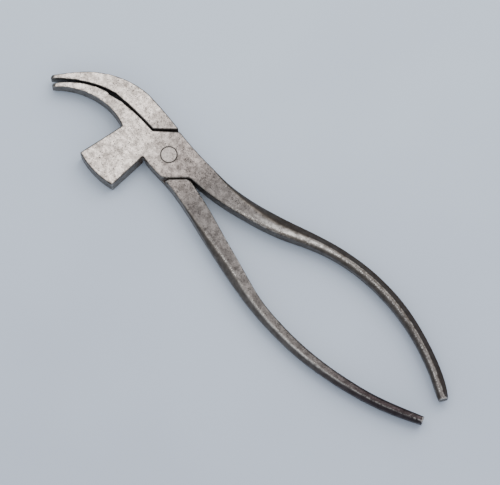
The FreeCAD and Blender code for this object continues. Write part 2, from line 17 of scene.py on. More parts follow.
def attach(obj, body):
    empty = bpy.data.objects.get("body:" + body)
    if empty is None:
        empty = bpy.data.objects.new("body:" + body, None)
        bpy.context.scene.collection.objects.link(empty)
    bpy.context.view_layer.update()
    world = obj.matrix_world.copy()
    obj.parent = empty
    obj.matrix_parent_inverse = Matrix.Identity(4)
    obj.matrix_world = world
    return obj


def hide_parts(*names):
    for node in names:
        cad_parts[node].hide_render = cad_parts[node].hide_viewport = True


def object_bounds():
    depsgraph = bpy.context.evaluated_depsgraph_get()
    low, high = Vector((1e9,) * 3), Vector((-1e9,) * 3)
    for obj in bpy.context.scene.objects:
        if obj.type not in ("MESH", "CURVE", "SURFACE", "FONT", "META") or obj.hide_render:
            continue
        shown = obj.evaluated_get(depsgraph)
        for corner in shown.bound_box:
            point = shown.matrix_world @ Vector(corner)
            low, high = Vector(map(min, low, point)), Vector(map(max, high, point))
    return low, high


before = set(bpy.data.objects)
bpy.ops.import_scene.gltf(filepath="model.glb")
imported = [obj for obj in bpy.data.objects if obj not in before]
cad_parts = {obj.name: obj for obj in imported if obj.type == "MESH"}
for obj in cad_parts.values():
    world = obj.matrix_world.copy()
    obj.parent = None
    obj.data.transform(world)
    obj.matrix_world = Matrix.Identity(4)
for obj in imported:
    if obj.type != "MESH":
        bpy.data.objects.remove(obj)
cad_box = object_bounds()
MM = 0.001
print("CAD box, mm:", [[round(value / MM, 1) for value in corner] for corner in cad_box])

# %% [markdown]
# ## Camera
# The tool lies flat and is seen from almost straight above, a little from the
# handles' side.  A long lens from more than a metre away keeps the shape nearly
# free of perspective.  Three values aim the camera: how far the view leans from
# the vertical, which way on the table is up in the view, and where it looks.

# %% Place the camera
LEAN = math.radians(13.2)
VIEW_UP = math.radians(-45.56)
LOOK_AT = Vector((-49.07, 2.33, 4.75)) * MM
DISTANCE = 1.2027
LENS_LENGTH = 211.2
SENSOR_WIDTH = 36.0


def make_camera():
    """A long lens above the bench, leaning back from the vertical."""
    lens = bpy.data.cameras.new("bench_camera")
    lens.lens = LENS_LENGTH
    lens.sensor_width = SENSOR_WIDTH
    camera = bpy.data.objects.new("bench_camera", lens)
    bpy.context.scene.collection.objects.link(camera)
    back = math.sin(LEAN) * DISTANCE
    offset = Vector((-math.cos(VIEW_UP) * back, -math.sin(VIEW_UP) * back,
                     math.cos(LEAN) * DISTANCE))
    camera.location = LOOK_AT + offset
    camera.rotation_euler = (LEAN, 0.0, VIEW_UP - math.pi / 2)
    lens.clip_start = 0.05
    lens.clip_end = 10.0
    bpy.context.scene.camera = camera
    return camera


camera = make_camera()
print("camera at, mm:", [round(value / MM) for value in camera.location])

# %% [markdown]
# ## Skins for the forged levers
# A forging has no sharp corners and no perfect planes.  The CAD solids are exact,
# so each lever gets a skin: the solid is copied, rebuilt as an even net of small
# quads by the Remesh modifier, and its vertices are then moved.  The head's faces
# move a few hundredths of a millimetre, and the edges of the handles up to 1.6 mm.
# Even quads are the reason for remeshing: they take smoothing and dents equally
# well everywhere, which long CAD triangles don't.

# %% Helpers for the skins
QUAD = 0.30 * MM
WELD = 0.001 * MM
SEED_STEP = (7.3, 3.1, 5.7)
THICKNESS = cad_box[1].z
MIDDLE = THICKNESS / 2


def points_of(mesh):
    """All vertex places of a mesh as rows of an array."""
    flat = np.empty(len(mesh.vertices) * 3)
    mesh.vertices.foreach_get("co", flat)
    return flat.reshape(-1, 3)


def normals_of(mesh):
    """All vertex normals of a mesh as rows of an array."""
    flat = np.empty(len(mesh.vertices) * 3)
    mesh.vertices.foreach_get("normal", flat)
    return flat.reshape(-1, 3)


def set_points(mesh, places):
    """Move every vertex to its row's place."""
    mesh.vertices.foreach_set("co", places.ravel())
    mesh.update()


def neighbour_mean(places, edges, counts):
    """The average place of each vertex's neighbours."""
    total = np.zeros_like(places)
    np.add.at(total, edges[:, 0], places[edges[:, 1]])
    np.add.at(total, edges[:, 1], places[edges[:, 0]])
    return total / counts[:, None]


def ramp(values, low, high):
    """A smooth step from 0 at low to 1 at high."""
    share = np.clip((values - low) / (high - low), 0.0, 1.0)
    return share * share * (3.0 - 2.0 * share)


def unevenness(places, wavelength, seed):
    """Smooth noise between about -1 and 1, with humps of this size."""
    shift = Vector(SEED_STEP) * seed
    return np.array([noise.noise(Vector(p) / wavelength + shift) for p in places])


def remeshed(node, name):
    """A copy of a CAD node as an even net of quads."""
    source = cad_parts[node]
    mesh = source.data.copy()
    welded = bmesh.new()
    welded.from_mesh(mesh)
    bmesh.ops.remove_doubles(welded, verts=welded.verts, dist=WELD)
    welded.to_mesh(mesh)
    welded.free()
    rough = bpy.data.objects.new(name, mesh)
    bpy.context.scene.collection.objects.link(rough)
    modifier = rough.modifiers.new("even_net", "REMESH")
    modifier.mode = "VOXEL"
    modifier.voxel_size = QUAD
    graph = bpy.context.evaluated_depsgraph_get()
    even = bpy.data.meshes.new_from_object(rough.evaluated_get(graph))
    bpy.data.objects.remove(rough)
    even.name = name
    even.materials.clear()
    print(name, "rebuilt with", len(even.vertices), "vertices")
    return even


# %% [markdown]
# ## What each handle is like
# A handle isn't round in section.  The smith left a flat along the top and the
# bottom, and the metal slopes away from it on both sides.  The flat changes along
# the handle, so its two limits are shares of the handle's width, 0 inside the bow
# and 1 outside, first at the root and then further on.  The cuts say how much of
# the half thickness is lost at the very edge.  A painted highlight runs along the
# flat, the crown, and one place under the palm is polished by hands and painted
# with a sheen.  Both levers use the same functions, and a named record for each
# keeps their values apart.

# %% Describe the two handles
Handle = namedtuple("Handle", ["outer_side", "flat_inside", "flat_outside", "cut_inside",
                               "cut_outside", "crown_at", "palm"])
Palm = namedtuple("Palm", ["across", "back", "length", "width"])
HAMMER_HANDLE = Handle(outer_side=-1, flat_inside=(0.07, 0.30), flat_outside=(1.00, 0.46),
                       cut_inside=0.14, cut_outside=0.42, crown_at=0.03,
                       palm=Palm(across=0.34, back=62 * MM, length=16 * MM, width=0.10))
PLAIN_HANDLE = Handle(outer_side=1, flat_inside=(0.0, 0.04), flat_outside=(0.90, 0.60),
                      cut_inside=0.05, cut_outside=0.36, crown_at=1.0,
                      palm=Palm(across=0.66, back=90 * MM, length=22 * MM, width=0.065))
print("handle cuts:", [(handle.cut_inside, handle.cut_outside)
                       for handle in (HAMMER_HANDLE, PLAIN_HANDLE)])

# %% [markdown]
# ## Smoothing, noses, facets, dents
# The net is relaxed four times, each time forwards and then most of the way back,
# so that edges turn into small rounds while the body keeps its size.  The noses
# of the jaws are rounded over towards the tip, and the handles get their sloping
# facets.  Low humps come from hammer blows, and fine ones from scale that was
# ground away.  After the relaxing everything moves inwards only, which keeps the
# skin inside the solid's box and the two levers free of each other.

# %% Shape a lever's skin
RELAX_ROUNDS = 4
RELAX_STRENGTH = 0.5
BACK_SHARE = 0.93
NOSE_ROUND = 2.1 * MM
NOSE_HEADING = math.radians(35.0)
NOSES_FROM = 45 * MM
HANDLE_GROWS = (16 * MM, 55 * MM)
FLAT_INSIDE_CHANGES = (20 * MM, 80 * MM)
FLAT_OUTSIDE_CHANGES = (10 * MM, 55 * MM)
HUMP_SIZE = 9.0 * MM
CHATTER_SIZE = 1.6 * MM
CREST_BLURS = 6


def relax(places, edges, counts, rounds, strength):
    """Pull each vertex towards its neighbours, then part of the way back out."""
    for _ in range(rounds):
        places = places + strength * (neighbour_mean(places, edges, counts) - places)
        places = places - BACK_SHARE * strength * (neighbour_mean(places, edges, counts) - places)
    return places


def round_nose(places):
    """Bring the faces together over the last stretch before the tip."""
    along = np.array([math.cos(NOSE_HEADING), math.sin(NOSE_HEADING)])
    reach = places[:, :2] @ along
    jaw = places[:, 0] > NOSES_FROM
    before_tip = reach[jaw].max() - reach
    near = np.clip(1.0 - before_tip / NOSE_ROUND, 0.0, 1.0) * jaw
    squeeze = 1.0 - 0.5 * (1.0 - np.sqrt(1.0 - near * near * 0.98))
    places[:, 2] = MIDDLE + (places[:, 2] - MIDDLE) * squeeze
    return places


def across_handle(places, outer_side):
    """Where a point lies across its handle: 0 inside the bow, 1 outside."""
    stations = np.floor(places[:, 0] / MM).astype(int)
    first = stations.min()
    low = np.full(stations.max() - first + 1, 1.0)
    high = -low
    np.minimum.at(low, stations - first, places[:, 1])
    np.maximum.at(high, stations - first, places[:, 1])
    middles = (np.arange(len(low)) + first + 0.5) * MM
    low = np.interp(places[:, 0], middles, low)
    high = np.interp(places[:, 0], middles, high)
    share = np.clip((places[:, 1] - low) / np.maximum(high - low, 1e-6), 0.0, 1.0)
    return share if outer_side > 0 else 1.0 - share


def changing(ends, back, stretch):
    """A value that goes from its first end to its second along this stretch."""
    return ends[0] + (ends[1] - ends[0]) * ramp(back, *stretch)


def flat_limits(places, handle):
    """The inner and outer limits of a handle's flat, at every point's station."""
    back = -places[:, 0]
    inside = changing(handle.flat_inside, back, FLAT_INSIDE_CHANGES)
    outside = changing(handle.flat_outside, back, FLAT_OUTSIDE_CHANGES)
    return inside, outside


def facet(places, across, on_handle, handle):
    """Slope the top and bottom of a handle away from its flat."""
    inside, outside = flat_limits(places, handle)
    lost = handle.cut_inside * ramp(inside - across, 0.0, 0.40)
    lost = lost + handle.cut_outside * ramp(across - outside, 0.0, 0.45)
    places = places.copy()
    places[:, 2] = MIDDLE + (places[:, 2] - MIDDLE) * (1.0 - on_handle * lost)
    return places


def dents(places, spots):
    """Shallow round blows: place, radius and depth in millimetres."""
    depth = np.zeros(len(places))
    for x, y, z, radius, deep in spots:
        gap = np.linalg.norm(places / MM - np.array([x, y, z]), axis=1)
        depth += deep * ramp(gap, radius, 0.0)
    return depth * MM


def crest_height(places, normals, edges, counts):
    """How far each vertex stands out of its wider surroundings."""
    blurred = places
    for _ in range(CREST_BLURS):
        blurred = neighbour_mean(blurred, edges, counts)
    return np.einsum("ij,ij->i", places - blurred, normals)


def shape_skin(mesh, seed, spots, handle):
    """Relax, round, facet and dent the net, and return what its wear follows."""
    edges = np.empty(len(mesh.edges) * 2, dtype=np.int64)
    mesh.edges.foreach_get("vertices", edges)
    edges = edges.reshape(-1, 2)
    counts = np.bincount(edges.ravel(), minlength=len(mesh.vertices)).astype(float)
    places = relax(points_of(mesh), edges, counts, RELAX_ROUNDS, RELAX_STRENGTH)
    places = round_nose(places)
    on_handle = ramp(-places[:, 0], *HANDLE_GROWS)
    across = across_handle(places, handle.outer_side)
    places = facet(places, across, on_handle, handle)
    set_points(mesh, places)
    normals = normals_of(mesh)
    bend = crest_height(places, normals, edges, counts)
    print("crest heights, mm:", np.round(np.percentile(bend / MM, [1, 50, 90, 97, 99.5]), 3))
    humps = 0.5 + 0.5 * unevenness(places, HUMP_SIZE, seed)
    chatter = 0.5 + 0.5 * unevenness(places, CHATTER_SIZE, seed + 1)
    sink = (0.035 + 0.075 * on_handle) * humps + (0.012 + 0.03 * on_handle) * chatter
    places = places - normals * (sink * MM + dents(places, spots))[:, None]
    places[:, 2] = np.clip(places[:, 2], 0.0, THICKNESS)
    set_points(mesh, places)
    return bend, on_handle, across, normals


# %% [markdown]
# ## Wear maps and painted light
# The finish of old steel follows its shape: corners are rubbed bright and also
# painted bright as edge highlights, hollows stay dark, the ground faces are pale
# and the forged sides keep a dark skin.  A bevel beside a face gets painted shade,
# the crown gets a painted highlight, the palm's place is polished and painted with
# a sheen, and damp has rusted the inside of the lap.  These facts are worked out
# once from the net and stored on the vertices, so a material only has to read
# them by name.  Angles are degrees of lean away from level.  Places are distances
# from the rivet along the tool, and the lap's rim is a radius.

# %% Store the wear maps
FACE_LEANS = (8.0, 24.0)
STRIP_LEANS = (30.0, 50.0)
CREST_LEANS = (3.0, 12.0)
BEVEL_STARTS = (14.0, 28.0)
BEVEL_ENDS = (60.0, 78.0)
CREST_FULL = 0.30 * MM
STRIP_BEGINS = (12 * MM, 24 * MM)
LAST_STRETCH = (125 * MM, 150 * MM)
PAST_JOINT = (4 * MM, 26 * MM)
OFF_PLATE = (-4 * MM, 18 * MM)
TOWARDS_NOSES = (22 * MM, 50 * MM)
TOWARDS_END = (85 * MM, 135 * MM)
LAP_RIM = (11.5 * MM, 14.5 * MM)
CROWN_WIDTH = 0.06


def store(mesh, name, values):
    """Keep one number for each vertex under a name that a material can read."""
    attribute = mesh.attributes.new(name, "FLOAT", "POINT")
    attribute.data.foreach_set("value", np.ascontiguousarray(values, dtype=np.float32))


def bell(values, middle, width):
    """1 at the middle, falling away smoothly on both sides."""
    return np.exp(-((values - middle) / width) ** 2)


def map_places(mesh, places, on_handle):
    """How far along the tool each vertex lies."""
    back = -places[:, 0]
    store(mesh, "handle_share", on_handle)
    store(mesh, "past_joint", ramp(back, *PAST_JOINT))
    store(mesh, "off_plate", ramp(places[:, 0] + 0.4 * places[:, 1], *OFF_PLATE))
    store(mesh, "towards_noses", ramp(places[:, 0], *TOWARDS_NOSES))
    store(mesh, "towards_end", ramp(back, *TOWARDS_END))


def map_faces(mesh, places, across, lean, outer_face, handle):
    """The ground faces: all level ones on the head, only the flat on a handle."""
    back = -places[:, 0]
    level = 1.0 - ramp(lean, *FACE_LEANS)
    inside, outside = flat_limits(places, handle)
    spare = 0.08 * ramp(back, *LAST_STRETCH)
    strip = (1.0 - ramp(lean, *STRIP_LEANS)) * ramp(across - inside + spare, -0.05, 0.03)
    strip = strip * ramp(outside + spare - across, -0.03, 0.05)
    store(mesh, "ground_face", (level + (strip - level) * ramp(back, *STRIP_BEGINS)) * outer_face)


def map_edges(mesh, bend, lean):
    """Rubbed crests that also carry painted edge highlights, painted shade on the bevels beside
    the faces, and hollows.
    """
    # Rubbed crests: wear, and also painted edge highlights.
    store(mesh, "rubbed_crest_and_edge_highlight", np.clip(bend / CREST_FULL, 0.0, 1.0) * ramp(lean, *CREST_LEANS))
    # Painted shade: sloping bevels are darkened by their lean.
    store(mesh, "bevel_painted_shade", ramp(lean, *BEVEL_STARTS) * (1.0 - ramp(lean, *BEVEL_ENDS)))
    store(mesh, "hollow", np.clip(-bend / CREST_FULL, 0.0, 1.0))


def map_hands(mesh, places, across, on_handle, outer_face, handle):
    """A painted highlight along the crown, and polish with a painted sheen under the palm."""
    inside, outside = flat_limits(places, handle)
    crown = bell(across, inside + (outside - inside) * handle.crown_at, CROWN_WIDTH)
    palm = bell(across, handle.palm.across, handle.palm.width)
    palm = palm * bell(-places[:, 0], handle.palm.back, handle.palm.length)
    # Painted highlight along the crown; polish with a painted sheen under the palm.
    store(mesh, "crown_painted_highlight", crown * 0.8 * on_handle * outer_face)
    store(mesh, "palm_wear_and_sheen", palm * on_handle * outer_face)


def map_lap(mesh, places, normals, upright):
    """The inside of the lap, close to the rivet: the mating faces and their shoulders."""
    lap = 1.0 - ramp(np.abs(places[:, 2] - MIDDLE), 0.03 * THICKNESS, 0.09 * THICKNESS)
    shoulder = ramp(np.abs(normals[:, 0]), 0.35, 0.65) * (1.0 - ramp(upright, 0.3, 0.6))
    near_joint = 1.0 - ramp(np.hypot(places[:, 0], places[:, 1]), *LAP_RIM)
    store(mesh, "inside_lap", np.maximum(lap, shoulder) * near_joint)


def map_wear(mesh, bend, on_handle, across, normals, handle):
    """All the wear maps of one skin."""
    places = points_of(mesh)
    upright = np.clip(np.abs(normals[:, 2]), 0.0, 1.0)
    lean = np.degrees(np.arccos(upright))
    outer_face = ramp(np.abs(places[:, 2] - MIDDLE), 0.16 * THICKNESS, 0.26 * THICKNESS)
    map_places(mesh, places, on_handle)
    map_faces(mesh, places, across, lean, outer_face, handle)
    map_edges(mesh, bend, lean)
    map_hands(mesh, places, across, on_handle, outer_face, handle)
    map_lap(mesh, places, normals, upright)
    store(mesh, "bow_outside", ramp(normals[:, 1] * handle.outer_side, 0.05, 0.6))


def make_skin(node, body, seed, spots, handle):
    """One lever's skin, riding on the lever's body in place of the solid."""
    mesh = remeshed(node, f"{node}_skin")
    bend, on_handle, across, normals = shape_skin(mesh, seed, spots, handle)
    map_wear(mesh, bend, on_handle, across, normals, handle)
    mesh.polygons.foreach_set("use_smooth", [True] * len(mesh.polygons))
    skin = bpy.data.objects.new(f"{node}_skin", mesh)
    bpy.context.scene.collection.objects.link(skin)
    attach(skin, body)
    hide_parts(node)
    print(skin.name, "has", len(mesh.vertices), "vertices")
    return skin


# %% [markdown]
# Each lever gets its own blows.  The hammer's face and flanks have taken knocks,
# and both handles carry a few old nicks where they were dropped.  Each row is a
# place, a radius and a depth, all in millimetres.

# %% Make the two skins
HAMMER_DENTS = [
    (15.0, 25.6, 6.5, 2.2, 0.12),
    (21.5, 25.4, 3.0, 1.6, 0.10),
    (10.5, 25.3, 2.5, 1.3, 0.12),
    (26.6, 24.6, 8.4, 0.9, 0.20),
    (8.2, 25.2, 9.0, 0.8, 0.15),
    (-66.0, -12.0, 9.1, 1.3, 0.14),
    (-97.0, -22.8, 6.0, 1.6, 0.12),
    (-134.0, -12.0, 6.0, 1.4, 0.14),
]
PLAIN_DENTS = [
    (-58.0, 17.4, 8.6, 1.0, 0.15),
    (-71.0, 17.8, 7.6, 1.4, 0.12),
    (-104.0, 21.6, 6.5, 1.5, 0.12),
    (-149.5, 6.8, 7.6, 0.9, 0.25),
    (47.0, -4.3, 4.0, 1.2, 0.10),
]
hammer_skin = make_skin("hammer_lever", "hammer_side", 1, HAMMER_DENTS, HAMMER_HANDLE)
plain_skin = make_skin("plain_lever", "plain_side", 2, PLAIN_DENTS, PLAIN_HANDLE)

# %% [markdown]
# ## The rivet
# Its two heads were hammered out and ground level with the faces.  Only a thin
# round line shows.  The piece is turned from one profile; each rim is rounded
# so that it leaves a fine groove against the lever, which is what draws the line.

# %% Turn the rivet
RIVET_HEAD = 3.36 * MM
RIVET_SHANK = 3.0 * MM
HEAD_DEPTH = 1.2 * MM
RIM = 0.16 * MM
SUNK = 0.01 * MM
AROUND = 96


def half_profile():
    """Radius and height from the middle of the shank to the middle of the head."""
    top = THICKNESS - SUNK
    rim = [(RIVET_HEAD - RIM * (1 - math.sin(a)), top - RIM * (1 - math.cos(a)))
           for a in (math.pi / 2, math.pi / 3, math.pi / 6, 0.0)]
    face = [(RIVET_HEAD * share, top) for share in (0.8, 0.55, 0.3, 0.1)]
    return [(RIVET_SHANK, MIDDLE), (RIVET_SHANK, THICKNESS - HEAD_DEPTH)] + rim + face


def turn_rivet():
    """The profile turned about the rivet's axis, with a cap at each end."""
    upper = half_profile()
    lower = [(radius, THICKNESS - height) for radius, height in reversed(upper[1:])]
    rings = lower + upper
    shape = bmesh.new()
    grid = []
    for radius, height in rings:
        ring = []
        for step in range(AROUND):
            angle = 2 * math.pi * step / AROUND
            ring.append(shape.verts.new((radius * math.cos(angle), radius * math.sin(angle),
                                         height)))
        grid.append(ring)
    for low, high in zip(grid, grid[1:]):
        for step in range(AROUND):
            after = (step + 1) % AROUND
            shape.faces.new((low[step], low[after], high[after], high[step]))
    bottom = shape.verts.new((0.0, 0.0, rings[0][1]))
    top = shape.verts.new((0.0, 0.0, rings[-1][1]))
    for step in range(AROUND):
        after = (step + 1) % AROUND
        shape.faces.new((grid[0][after], grid[0][step], bottom))
        shape.faces.new((grid[-1][step], grid[-1][after], top))
    mesh = bpy.data.meshes.new("pivot_rivet_skin")
    shape.to_mesh(mesh)
    shape.free()
    mesh.polygons.foreach_set("use_smooth", [True] * len(mesh.polygons))
    rivet = bpy.data.objects.new("pivot_rivet_skin", mesh)
    bpy.context.scene.collection.objects.link(rivet)
    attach(rivet, "hammer_side")
    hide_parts("pivot_rivet")
    return rivet


rivet_skin = turn_rivet()
print("rivet has", len(rivet_skin.data.vertices), "vertices")

# %% [markdown]
# ## Effects shared by the steels
# Stains, pits and grinding marks look alike on all three pieces, so each is a
# shader node group.  A small helper class keeps the wiring short: it adds a node,
# sets its plain values and links whatever it is given.

# %% A helper that wires nodes
class Wiring:
    """Adds and links nodes in one node tree."""

    def __init__(self, tree):
        self.tree = tree

    def plug(self, socket, value):
        """Link an output to a socket, or set the socket's plain value."""
        if isinstance(value, bpy.types.NodeSocket):
            self.tree.links.new(value, socket)
        elif value is not None:
            socket.default_value = value

    def node(self, kind, settings=(), **inputs):
        """A node with its settings and its inputs; spaces in names become underscores."""
        made = self.tree.nodes.new(kind)
        for key, value in dict(settings).items():
            setattr(made, key, value)
        for key, value in inputs.items():
            self.plug(made.inputs[key.replace("_", " ")], value)
        return made

    def maths(self, operation, a, b=None, clamp=False):
        """One sum on one or two numbers."""
        made = self.tree.nodes.new("ShaderNodeMath")
        made.operation = operation
        made.use_clamp = clamp
        self.plug(made.inputs[0], a)
        self.plug(made.inputs[1], b)
        return made.outputs[0]

    def spread(self, value, low, high, out_low=0.0, out_high=1.0):
        """A smooth step between two limits."""
        made = self.tree.nodes.new("ShaderNodeMapRange")
        made.interpolation_type = "SMOOTHSTEP"
        for key, part in zip(("Value", "From Min", "From Max", "To Min", "To Max"),
                             (value, low, high, out_low, out_high)):
            self.plug(made.inputs[key], part)
        return made.outputs["Result"]

    def blend(self, share, a, b):
        """A colour between two colours."""
        made = self.tree.nodes.new("ShaderNodeMix")
        made.data_type = "RGBA"
        self.plug(made.inputs[0], share)
        self.plug(made.inputs[6], a)
        self.plug(made.inputs[7], b)
        return made.outputs[2]

    def mixed(self, share, a, b):
        """A number between two numbers."""
        made = self.tree.nodes.new("ShaderNodeMix")
        self.plug(made.inputs[0], share)
        self.plug(made.inputs[2], a)
        self.plug(made.inputs[3], b)
        return made.outputs[0]

    def noise(self, where, scale, detail=2.0, roughness=0.5):
        """Cloudy noise; the scale is the number of clouds in a metre."""
        made = self.node("ShaderNodeTexNoise", Vector=where, Scale=scale, Detail=detail,
                         Roughness=roughness)
        return made.outputs["Fac"]

    def worn(self, name):
        """A wear map, read by its name."""
        made = self.node("ShaderNodeAttribute", {"attribute_name": name})
        return made.outputs["Fac"]


def new_group(name, inputs, outputs):
    """An empty node group with number inputs and outputs, and its two end nodes."""
    tree = bpy.data.node_groups.new(name, "ShaderNodeTree")
    for label, value in inputs:
        if label == "Place":
            tree.interface.new_socket(label, in_out="INPUT", socket_type="NodeSocketVector")
            continue
        socket = tree.interface.new_socket(label, in_out="INPUT", socket_type="NodeSocketFloat")
        socket.default_value = value
    for label in outputs:
        tree.interface.new_socket(label, in_out="OUTPUT", socket_type="NodeSocketFloat")
    start = tree.nodes.new("NodeGroupInput")
    end = tree.nodes.new("NodeGroupOutput")
    return Wiring(tree), start.outputs, end.inputs


# %% [markdown]
# ### Stains
# Ground steel that has lain in a workshop is mottled: cloudy grey patches a few
# millimetres wide, with smaller and darker flecks inside them.  Three noises of
# different size do this, and the finest shows most inside the clouds.

# %% Build the stains group
def stains_group():
    """Clouds, mottle and flecks of old grey stain."""
    w, given, out = new_group("workshop_stains", [("Place", None), ("Cloud size", 150.0),
                                                  ("Fleck size", 900.0)],
                              ["Clouds", "Mottle", "Flecks"])
    clouds = w.noise(given["Place"], given["Cloud size"], 3.0, 0.6)
    mottle = w.noise(given["Place"], w.maths("MULTIPLY", given["Cloud size"], 3.2), 4.0, 0.68)
    flecks = w.noise(given["Place"], given["Fleck size"], 3.0, 0.7)
    gate = w.spread(clouds, 0.36, 0.62, 0.3, 1.0)
    w.plug(out["Clouds"], w.spread(clouds, 0.36, 0.64))
    w.plug(out["Mottle"], w.spread(mottle, 0.36, 0.66))
    w.plug(out["Flecks"], w.maths("MULTIPLY", w.spread(flecks, 0.56, 0.64), gate))
    return w.tree


STAINS = stains_group()
print("made", STAINS.name)

# %% [markdown]
# ### Pits
# Rust that was cleaned off leaves small round pits.  Voronoi cells give one round
# spot each; a random number per cell throws most of them away, and a noise crowds
# the rest into patches.  The group gives a mask for dirt and a height for relief.

# %% Build the pits group
def pits_group():
    """Round pits, gathered in patches."""
    w, given, out = new_group("rust_pits", [("Place", None), ("Size", 1400.0), ("Share", 0.3)],
                              ["Pits", "Height"])
    cells = w.node("ShaderNodeTexVoronoi", Vector=given["Place"], Scale=given["Size"],
                   Randomness=1.0)
    chosen = w.node("ShaderNodeSeparateColor", Color=cells.outputs["Color"]).outputs["Red"]
    patch = w.spread(w.noise(given["Place"], 240.0, 2.0), 0.42, 0.62, 0.35, 1.4)
    limit = w.maths("MULTIPLY", given["Share"], patch)
    kept = w.maths("LESS_THAN", chosen, limit)
    spot = w.spread(cells.outputs["Distance"], 0.38, 0.08)
    pits = w.maths("MULTIPLY", spot, kept)
    w.plug(out["Pits"], pits)
    w.plug(out["Height"], w.maths("MULTIPLY", pits, -1.0))
    return w.tree


PITS = pits_group()
print("made", PITS.name)

# %% [markdown]
# ### Grinding marks
# A grindstone leaves fine parallel lines.  Noise that is stretched along one
# direction and squeezed across it gives them.  A second set, turned well away
# from the first, is thinned out to a few loose scratches.

# %% Build the grinding group
def grinding_group():
    """Fine parallel marks and a few loose scratches."""
    w, given, out = new_group("grinding_marks", [("Place", None), ("Lines", 2600.0),
                                                 ("Turn", 0.6)], ["Marks", "Scratches"])
    turned = w.node("ShaderNodeVectorRotate", {"rotation_type": "Z_AXIS"},
                    Vector=given["Place"], Angle=given["Turn"])
    stretched = w.node("ShaderNodeMapping", Vector=turned.outputs[0], Scale=(0.05, 1.0, 1.0))
    marks = w.noise(stretched.outputs[0], given["Lines"], 2.0, 0.55)
    crossing = w.node("ShaderNodeVectorRotate", {"rotation_type": "Z_AXIS"},
                      Vector=given["Place"], Angle=w.maths("ADD", given["Turn"], 0.9))
    long_way = w.node("ShaderNodeMapping", Vector=crossing.outputs[0], Scale=(0.12, 1.0, 1.0))
    loose = w.noise(long_way.outputs[0], w.maths("MULTIPLY", given["Lines"], 0.45), 1.0, 0.5)
    w.plug(out["Marks"], marks)
    w.plug(out["Scratches"], w.spread(loose, 0.66, 0.74))
    return w.tree


GRINDING = grinding_group()
print("made", GRINDING.name)


# %% Place a group in a material
def use(w, group, **inputs):
    """The outputs of a group placed in a material with these values."""
    made = w.tree.nodes.new("ShaderNodeGroup")
    made.node_tree = group
    for key, value in inputs.items():
        w.plug(made.inputs[key.replace("_", " ")], value)
    return made.outputs


# %% [markdown]
# ## The steel of the levers
# One recipe serves both levers with different values.  It starts from the dark
# skin of the forged sides, lays the ground faces over it, then a painted highlight
# along the crown and the palm's polish with a painted sheen, painted shade on the
# head's bevels, pits and dirt, then rust in the hollows, and last the bright
# rubbed crests, which also stand for painted edge highlights.  Rust and dirt are
# not metal, so they also lower Metallic and raise Roughness.  Each step is a short
# function that is given the masks it needs.

# %% Colours of old steel
NOSE_PALE = (0.95, 0.865, 0.80, 1.0)
JAW_PALE = (0.82, 0.745, 0.690, 1.0)
PLATE_GREY = (0.37, 0.330, 0.312, 1.0)
HANDLE_GREY = (0.150, 0.138, 0.134, 1.0)
HANDLE_BROWN = (0.045, 0.034, 0.038, 1.0)
SIDE_DARK = (0.062, 0.049, 0.040, 1.0)
SIDE_GREY = (0.195, 0.180, 0.167, 1.0)
# Shares of light kept by stains, and by the painted shade on the bevels.
STAIN_AND_SHADE_SHARE = (0.17, 0.155, 0.145, 1.0)
PIT_DARK = (0.040, 0.032, 0.027, 1.0)
RUST = (0.042, 0.021, 0.013, 1.0)
# Bright worn metal, also used for the painted highlights and sheen.
BRIGHT_METAL_AND_HIGHLIGHT = (0.78, 0.76, 0.73, 1.0)


def darker(w, colour, share):
    """The colour with part of its light taken away."""
    node = w.tree.nodes.new("ShaderNodeMix")
    node.data_type = "RGBA"
    node.blend_type = "MULTIPLY"
    w.plug(node.inputs["Factor"], share)
    w.plug(node.inputs[6], colour)
    w.plug(node.inputs[7], STAIN_AND_SHADE_SHARE)
    return node.outputs[2]


print("stains keep these shares of the light:", STAIN_AND_SHADE_SHARE[:3])


# %% [markdown]
# ### Ground faces and forged sides
# The faces go from pale at the noses, through grey at the joint, to dark at the
# grips, and one of the handles is brown at its end.  Stains only take light away:
# mixing towards a fixed grey would lighten the dark grips.  The sides were never
# ground, and are darkest on the outside of the bow.

# %% Colour the faces and the sides
FINE_GRAIN = 2300.0
GRIP_STAINS = 0.62


def face_colour(w, stains, marks, grain, end_brown):
    """The ground faces, from the noses to the grips, with their stains."""
    head = w.blend(w.worn("off_plate"), PLATE_GREY, JAW_PALE)
    head = w.blend(w.worn("towards_noses"), head, NOSE_PALE)
    grip = w.blend(end_brown, HANDLE_GREY, HANDLE_BROWN)
    past_joint = w.worn("past_joint")
    faces = w.blend(past_joint, head, grip)
    faces = darker(w, faces, w.maths("MULTIPLY", stains["Clouds"], 0.34))
    stained = w.mixed(past_joint, 1.0, GRIP_STAINS)
    for layer, strength in (("Mottle", 0.50), ("Flecks", 0.55)):
        share = w.maths("MULTIPLY", stains[layer], w.maths("MULTIPLY", stained, strength))
        faces = darker(w, faces, share)
    faces = darker(w, faces, w.spread(grain, 0.47, 0.62, 0.0, 0.42))
    return w.blend(w.maths("MULTIPLY", marks["Scratches"], 0.05), faces, BRIGHT_METAL_AND_HIGHLIGHT)


def side_colour(w, stains, handle, end_brown, skin_tone_and_sheen):
    """The forged sides under their dark skin."""
    dark_skin = w.maths("ADD", w.maths("MULTIPLY", w.worn("bow_outside"), 0.45), 0.55)
    dark_skin = w.maths("MULTIPLY", dark_skin, w.mixed(handle, 0.25, 1.0))
    # The plain lever's paler sides also stand for a painted sheen.
    forged = w.blend(w.maths("MULTIPLY", dark_skin, skin_tone_and_sheen), SIDE_GREY, SIDE_DARK)
    forged = w.blend(end_brown, forged, HANDLE_BROWN)
    return darker(w, forged, w.maths("MULTIPLY", stains["Mottle"], 0.35))


